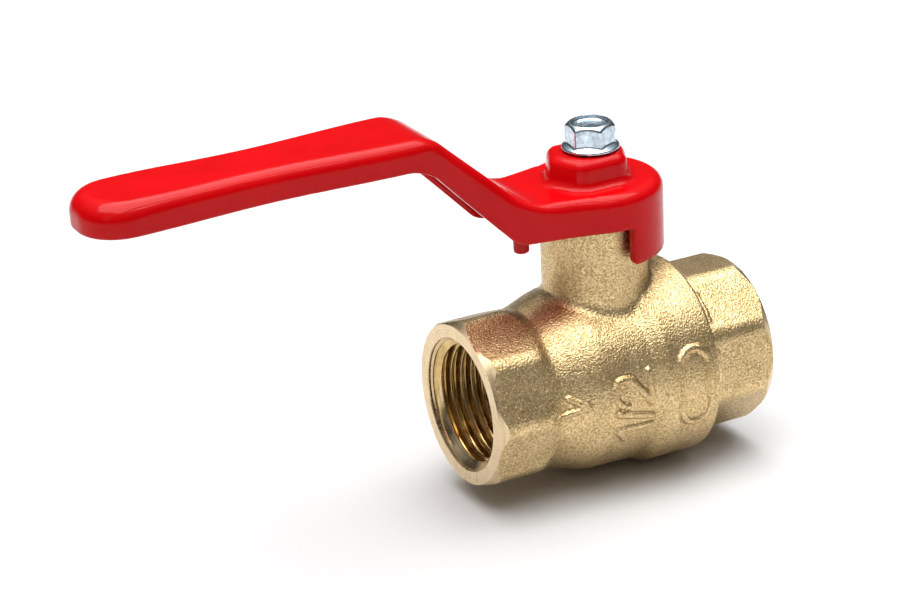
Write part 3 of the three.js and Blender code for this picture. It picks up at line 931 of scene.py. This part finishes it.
def nut_field(x, y, z):
    """The hexagonal gland nut with its sleeve down into the neck."""
    around = np.hypot(x, y)
    head = prism(x, y, 6, NUT_FLATS, 0, 0.4)
    head = round_common(head, between(z, NECK_TOP + 0.3, NUT_HIGH[2]), 0.25)
    sleeve = rod(around, z, NUT_LOW[2], NUT_HIGH[2], NUT_SLEEVE_RADIUS, 0.25)
    return round_common(np.minimum(head, sleeve), NUT_BORE_RADIUS - around, 0.25)


def make_ring(name, node_name, body, material, along_x=False):
    """A plain washer, seat or O-ring, filling its CAD node's box about its own axis."""
    low, high = cad(node_name)
    inner = RING_BORES[node_name]
    outer = high[1]

    def ring(x, y, z):
        radius, along = (np.hypot(y, z), x) if along_x else (np.hypot(x, y), z)
        start, end = (low[0], high[0]) if along_x else (low[2], high[2])
        edge = 0.5 * (outer - inner) if material is RUBBER else 0.25
        shape = tube(radius, along, start, end, inner, outer, edge * 0.98)
        if along_x:
            shape = round_common(shape, BALL_RADIUS + 0.3 - np.sqrt(x * x + y * y + z * z), 0.15)
        return shape

    piece = skin(name, ring, low, high, 0.16)
    place_piece(piece, body, node_name, material)


def make_insides():
    ball = skin("bored_ball", ball_field, [-BALL_RADIUS] * 3, [BALL_RADIUS] * 3, 0.3)
    place_piece(ball, "ball", "ball", CHROME)
    stem = skin("stem_shank", stem_field, STEM_LOW, STEM_HIGH, 0.2)
    place_piece(stem, "stem_lever", "stem", TURNED)
    nut = skin("gland_nut_hex", nut_field, NUT_LOW, NUT_HIGH, 0.2)
    place_piece(nut, "housing", "gland_nut", TURNED)
    make_ring("inlet_seat_ring", "seat_inlet", "housing", PTFE, along_x=True)
    make_ring("outlet_seat_ring", "seat_outlet", "housing", PTFE, along_x=True)
    make_ring("thrust_washer_ring", "stem_thrust_washer", "housing", PTFE)
    make_ring("lower_packing", "packing_ring_lower", "housing", PTFE)
    make_ring("upper_packing", "packing_ring_upper", "housing", PTFE)
    make_ring("stem_seal", "stem_o_ring", "stem_lever", RUBBER)


# --- Studio -------------------------------------------------------------------------------------


def make_camera():
    """The photograph's viewpoint, from the front left and a little above."""
    azimuth, elevation, roll = (math.radians(angle) for angle in (26.757, 22.447, -3.082))
    target = Vector((-25.721, 0, 17.888)) * MM
    distance = 431.7 * MM
    back = Vector((
        -math.sin(azimuth) * math.cos(elevation),
        -math.cos(azimuth) * math.cos(elevation),
        math.sin(elevation),
    ))
    right = Vector((math.cos(azimuth), -math.sin(azimuth), 0))
    up = back.cross(right)
    turned_right = math.cos(roll) * right + math.sin(roll) * up
    turned_up = math.cos(roll) * up - math.sin(roll) * right
    data = bpy.data.cameras.new("camera")
    data.sensor_width = 36
    data.lens = 112.44
    data.clip_start = 0.01
    camera = bpy.data.objects.new("camera", data)
    axes = Matrix((turned_right, turned_up, back)).transposed().to_4x4()
    camera.matrix_world = Matrix.Translation(target + distance * back) @ axes
    bpy.context.scene.collection.objects.link(camera)
    bpy.context.scene.camera = camera


def make_floor():
    """A wide pale table under the valve."""
    half = 3.0
    height = cad_box[0][2] - 0.0002
    corners = [(-half, -half, height), (half, -half, height), (half, half, height), (-half, half, height)]
    mesh = bpy.data.meshes.new("floor")
    mesh.from_pydata(corners, [], [(0, 1, 2, 3)])
    floor = bpy.data.objects.new("floor", mesh)
    bpy.context.scene.collection.objects.link(floor)
    material, tree, shader, place = new_material("white_table")
    shade = noise(tree, place, 60.0, 2.0)
    colour = blend_colour(tree, spread(tree, shade, 0, 1), (0.62, 0.62, 0.62), (0.64, 0.64, 0.64))
    tree.links.new(colour, shader.inputs["Base Color"])
    shader.inputs["Roughness"].default_value = 0.8
    shader.inputs["Specular IOR Level"].default_value = 0.2
    mesh.materials.append(material)


def softbox(name, place, aim, width, height, power):
    data = bpy.data.lights.new(name, "AREA")
    data.shape = "RECTANGLE"
    data.size = width
    data.size_y = height
    data.energy = power
    light = bpy.data.objects.new(name, data)
    light.location = place
    light.rotation_euler = (Vector(aim) - Vector(place)).to_track_quat("-Z", "Y").to_euler()
    bpy.context.scene.collection.objects.link(light)


def make_lights():
    """A softbox overhead, a bright strip in front, a fill from the left, and a room dark but for its top."""
    centre = Vector((-20, 0, 10)) * MM
    softbox("overhead", (-0.05, 0.05, 0.85), centre, 1.2, 0.9, 16)
    softbox("key_strip", (0.33, -0.38, 0.8), centre, 0.9, 0.04, 1.4)
    softbox("left_fill", (-0.9, -0.5, 0.5), centre, 0.4, 0.5, 0.25)
    world = bpy.data.worlds.new("studio")
    bpy.context.scene.world = world
    world.use_nodes = True
    tree = world.node_tree
    direction = node(tree, "TexCoord").outputs["Generated"]
    height = node(tree, "SeparateXYZ", {0: direction}).outputs["Z"]
    upward = spread(tree, height, 0, 1, 0.35, 0.75)
    colour = blend_colour(tree, upward, (0.06, 0.06, 0.065), (0.55, 0.55, 0.55))
    tree.links.new(colour, tree.nodes["Background"].inputs["Color"])
    tree.nodes["Background"].inputs["Strength"].default_value = 1.0
    bpy.context.scene.view_settings.view_transform = "Standard"


make_body()
make_cap()
make_lever()
make_screw()
make_insides()
make_camera()
make_floor()
make_lights()
